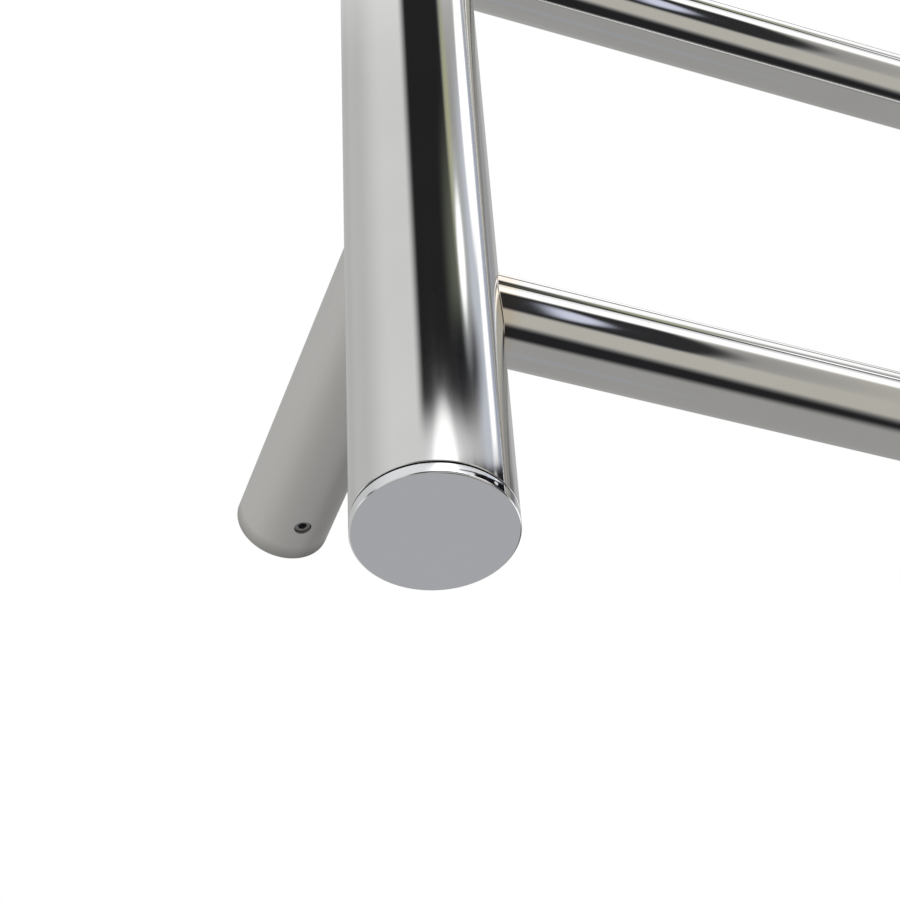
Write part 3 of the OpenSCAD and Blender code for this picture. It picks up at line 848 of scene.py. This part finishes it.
# Soft panels and dark flags round the object, as the polished tubes see them: shape, name, azimuth
# and elevation of the centre, half sizes, softness of the edges, all in degrees, then radiance.
# Azimuth runs from +Y towards +X. An oval has one softness, as a share of its size.
PANELS = [
    ("box", "left_wall", -60, 50, 62, 40, 34, 8, (0.56, 0.56, 0.555)),
    ("box", "left_light", -130, 48, 47, 40, 26, 8, (0.74, 0.74, 0.73)),
    ("box", "left_low", -45, -5, 52, 36, 12, 8, (0.54, 0.535, 0.525)),
    ("box", "left_softbox", -108, 2, 22, 34, 7, 6, (0.66, 0.66, 0.66)),
    ("box", "left_window", -64, 0, 9, 32, 6, 7, (0.75, 0.75, 0.75)),
    ("box", "left_post", -80, 0, 6, 33, 5, 6, (0.08, 0.08, 0.08)),
    ("box", "left_flag", -148, 0, 13, 34, 9, 6, (0.06, 0.06, 0.062)),
    ("box", "right_softbox", 82, 2, 14, 33, 6, 6, (1.1, 1.1, 1.12)),
    ("box", "right_post", 53, 0, 9, 31, 7, 6, (0.1, 0.1, 0.1)),
    ("box", "right_flag", 121, 4, 18, 33, 5, 4, (0.05, 0.05, 0.052)),
    ("box", "front_top", 10, 58, 40, 20, 12, 6, (0.5, 0.5, 0.49)),
    ("box", "ceiling", 0, 78, 181, 19, 1, 4, (1.25, 1.25, 1.26)),
    ("box", "right_wall", 55, 45, 20, 12, 12, 6, (0.5, 0.5, 0.5)),
    ("box", "right_mid", 70, 48, 12, 9, 6, 4, (0.36, 0.36, 0.37)),
    ("box", "right_blue", 88, 48, 10, 9, 5, 4, (0.43, 0.46, 0.56)),
    ("box", "right_pale", 114, 49, 13, 6, 9, 2, (0.62, 0.65, 0.72)),
    ("box", "back_sheet", 165, 37, 40, 8.6, 8, 1.6, (0.7, 0.7, 0.72)),
    ("box", "dark_door", 179, 53.9, 33, 7.9, 7, 0.6, (0.019, 0.019, 0.02)),
    ("oval", "door_sheen", 147, 50.2, 13, 2.8, 0.9, 0, (0.13, 0.14, 0.11)),
    ("oval", "olive", 143.5, 53.8, 4.5, 3.2, 0.7, 0, (0.45, 0.45, 0.3)),
    ("oval", "low_dark", 143, 47.5, 23, 1.4, 0.6, 0, (0.012, 0.012, 0.016)),
    ("oval", "plume_glow", 174, 41, 50, 4.9, 0.25, 0, (0.8, 0.8, 0.82)),
    ("oval", "plume", 182, 42.6, 28, 3.2, 0.3, 0, (1.2, 1.2, 1.2)),
    ("oval", "plume_core", 182, 42.8, 20, 3.5, 0.2, 0, (1.5, 1.5, 1.5)),
    ("oval", "lamp_glow", 136, 50.6, 8, 2.4, 0.7, 0, (0.55, 0.57, 0.58)),
    ("oval", "lamp", 138, 50.4, 5.6, 1.6, 0.4, 0, (1.5, 1.5, 1.5)),
    ("box", "back_foot", 150, 30, 20, 9, 6, 5, (1.5, 1.5, 1.5)),
    ("box", "strip", 103, 52, 5, 7, 3, 1, (1.5, 1.5, 1.52)),
    ("oval", "strip_head", 109, 54.3, 9, 3.8, 0.3, 0, (1.5, 1.5, 1.52)),
    ("box", "plinth", 110, 44.1, 26, 0.58, 3, 0.08, (0.008, 0.008, 0.01)),
    ("box", "plinth_left", 133, 44.4, 10, 0.35, 3, 0.08, (0.008, 0.008, 0.01)),
    ("box", "plinth_line", 152, 44.72, 13, 0.1, 3, 0.04, (0.01, 0.01, 0.012)),
    ("box", "plinth_end", 74, 43.5, 10, 1, 3, 0.3, (0.19, 0.19, 0.2)),
    ("oval", "plinth_gap", 107, 44.3, 3.5, 0.22, 0.3, 0, (0.7, 0.7, 0.7)),
    ("box", "back_low", 150, -14, 22, 37, 8, 6, (0.55, 0.53, 0.48)),
    ("box", "back_mid", 160, 0, 5, 19, 4, 5, (0.34, 0.335, 0.33)),
    ("box", "back_post", 166, 3, 8.2, 20.5, 0.7, 4, (0.03, 0.03, 0.032)),
    ("oval", "lilac", 162.1, 3, 0.8, 11, 0.5, 0, (0.73, 0.76, 0.92)),
    ("box", "floor_dark", 132, -73.5, 42, 20, 22, 7, (0.02, 0.02, 0.022)),
    ("box", "camera_side", 188, 24, 14, 13, 4, 3, (0.05, 0.05, 0.05)),
    ("oval", "floor_blue", 21.5, -45, 9, 7, 0.4, 0, (0.385, 0.39, 0.405)),
]
ROOM_GREY = (0.38, 0.375, 0.367)


class World:
    """The studio round the object: white to the camera, even for diffuse light, panels for gloss."""

    def __init__(self):
        world = bpy.data.worlds.new("studio")
        bpy.context.scene.world = world
        world.use_nodes = True
        self.nodes = world.node_tree.nodes
        self.links = world.node_tree.links
        self.nodes.clear()

    def math(self, operation, a, b=None):
        node = self.nodes.new("ShaderNodeMath")
        node.operation = operation
        for socket, value in zip(node.inputs, (a, b)):
            if value is None:
                continue
            if isinstance(value, (int, float)):
                socket.default_value = value
            else:
                self.links.new(value, socket)
        return node.outputs["Value"]

    def fade(self, distance, half, soft):
        """1 inside a half size and 0 outside it, with a smooth edge."""
        node = self.nodes.new("ShaderNodeMapRange")
        node.interpolation_type = "SMOOTHSTEP"
        node.inputs["From Min"].default_value = half - soft
        node.inputs["From Max"].default_value = half + soft
        node.inputs["To Min"].default_value = 1
        node.inputs["To Max"].default_value = 0
        self.links.new(distance, node.inputs["Value"])
        return node.outputs["Result"]

    def away(self, angle, centre):
        """Unsigned distance in degrees from a centre, round the full turn."""
        node = self.nodes.new("ShaderNodeMath")
        node.operation = "WRAP"
        node.inputs[1].default_value = 180
        node.inputs[2].default_value = -180
        self.links.new(self.math("SUBTRACT", angle, centre), node.inputs[0])
        return self.math("ABSOLUTE", node.outputs["Value"])

    def mix(self, factor, a, b):
        node = self.nodes.new("ShaderNodeMix")
        node.data_type = "RGBA"
        for socket, value in ((node.inputs["A"], a), (node.inputs["B"], b)):
            if isinstance(value, tuple):
                socket.default_value = (*value, 1)
            else:
                self.links.new(value, socket)
        self.links.new(factor, node.inputs["Factor"])
        return node.outputs["Result"]

    def background(self, colour):
        node = self.nodes.new("ShaderNodeBackground")
        if isinstance(colour, tuple):
            node.inputs["Color"].default_value = (*colour, 1)
        else:
            self.links.new(colour, node.inputs["Color"])
        return node.outputs["Background"]

    def choose(self, factor, a, b):
        node = self.nodes.new("ShaderNodeMixShader")
        self.links.new(factor, node.inputs["Fac"])
        self.links.new(a, node.inputs[1])
        self.links.new(b, node.inputs[2])
        return node.outputs["Shader"]


def studio_world():
    w = World()
    direction = w.nodes.new("ShaderNodeTexCoord").outputs["Generated"]
    split = w.nodes.new("ShaderNodeSeparateXYZ")
    w.links.new(direction, split.inputs["Vector"])
    azimuth = w.math("DEGREES", w.math("ARCTAN2", split.outputs["X"], split.outputs["Y"]))
    elevation = w.math("DEGREES", w.math("ARCSINE", split.outputs["Z"]))
    colour = ROOM_GREY
    for shape, _, az, el, half_az, half_el, soft_az, soft_el, radiance in PANELS:
        across = w.away(azimuth, az)
        up = w.math("ABSOLUTE", w.math("SUBTRACT", elevation, el))
        if shape == "oval":
            wide = w.math("POWER", w.math("DIVIDE", across, half_az), 2.0)
            high = w.math("POWER", w.math("DIVIDE", up, half_el), 2.0)
            cover = w.fade(w.math("SQRT", w.math("ADD", wide, high)), 1.0, soft_az)
        else:
            cover = w.math("MULTIPLY", w.fade(across, half_az, soft_az), w.fade(up, half_el, soft_el))
        colour = w.mix(cover, colour, radiance)
    rays = w.nodes.new("ShaderNodeLightPath")
    lit = w.choose(rays.outputs["Is Diffuse Ray"], w.background(colour), w.background((1.0, 1.0, 1.0)))
    seen = w.choose(rays.outputs["Is Camera Ray"], lit, w.background((1.0, 1.0, 1.0)))
    out = w.nodes.new("ShaderNodeOutputWorld")
    w.links.new(seen, out.inputs["Surface"])


def studio_floor():
    """A pale floor, far enough below for a look from underneath, that fades into the white backdrop."""
    low = CAD_BOX[0]
    size = 12.0
    z = low.z - FLOOR_DROP
    corners = [(-size, -size, z), (size, -size, z), (size, size, z), (-size, size, z)]
    s = Shader("floor_paint", (0.80, 0.80, 0.795), 0.0, 0.9)
    s.feed("Base Color", s.mix(s.noise(3, (1, 1, 1), 3.0, 0.5), (0.79, 0.79, 0.785), (0.81, 0.81, 0.805)))
    reach = s.nodes.new("ShaderNodeVectorMath")
    reach.operation = "LENGTH"
    s.links.new(s.where.outputs["Object"], reach.inputs[0])
    clear = s.nodes.new("ShaderNodeBsdfTransparent")
    mixed = s.nodes.new("ShaderNodeMixShader")
    s.links.new(s.ramp(reach.outputs["Value"], FADE_FROM, FADE_TO, 0, 1), mixed.inputs["Fac"])
    s.links.new(s.bsdf.outputs["BSDF"], mixed.inputs[1])
    s.links.new(clear.outputs["BSDF"], mixed.inputs[2])
    s.links.new(mixed.outputs["Shader"], s.nodes["Material Output"].inputs["Surface"])
    floor = new_object("studio_floor", corners, [(0, 1, 2, 3)], s.material)
    floor.visible_glossy = False


def camera():
    """Low and close under the lower left corner, looking up and a little to the right."""
    corner = Vector((-POST_X, POST_Y, RACK_LOW))
    azimuth, elevation, roll = (math.radians(a) for a in (22.10, 45.21, -3.59))
    place = corner + Vector((-105.4, -269.3, -269.8)) * MM
    forward = Vector((math.sin(azimuth) * math.cos(elevation),
                      math.cos(azimuth) * math.cos(elevation), math.sin(elevation)))
    level = Vector((math.cos(azimuth), -math.sin(azimuth), 0))
    up = level.cross(forward)
    right = math.cos(roll) * level + math.sin(roll) * up
    above = right.cross(forward)
    data = bpy.data.cameras.new("camera")
    data.lens = 85.96
    data.sensor_width = 36
    data.clip_start = 0.01
    obj = bpy.data.objects.new("camera", data)
    turn = Matrix((right, above, -forward)).transposed().to_4x4()
    obj.matrix_world = Matrix.Translation(place) @ turn
    bpy.context.scene.collection.objects.link(obj)
    bpy.context.scene.camera = obj


studio_world()
studio_floor()
camera()
bpy.context.scene.view_settings.view_transform = "Standard"
bpy.context.scene.view_settings.look = "None"
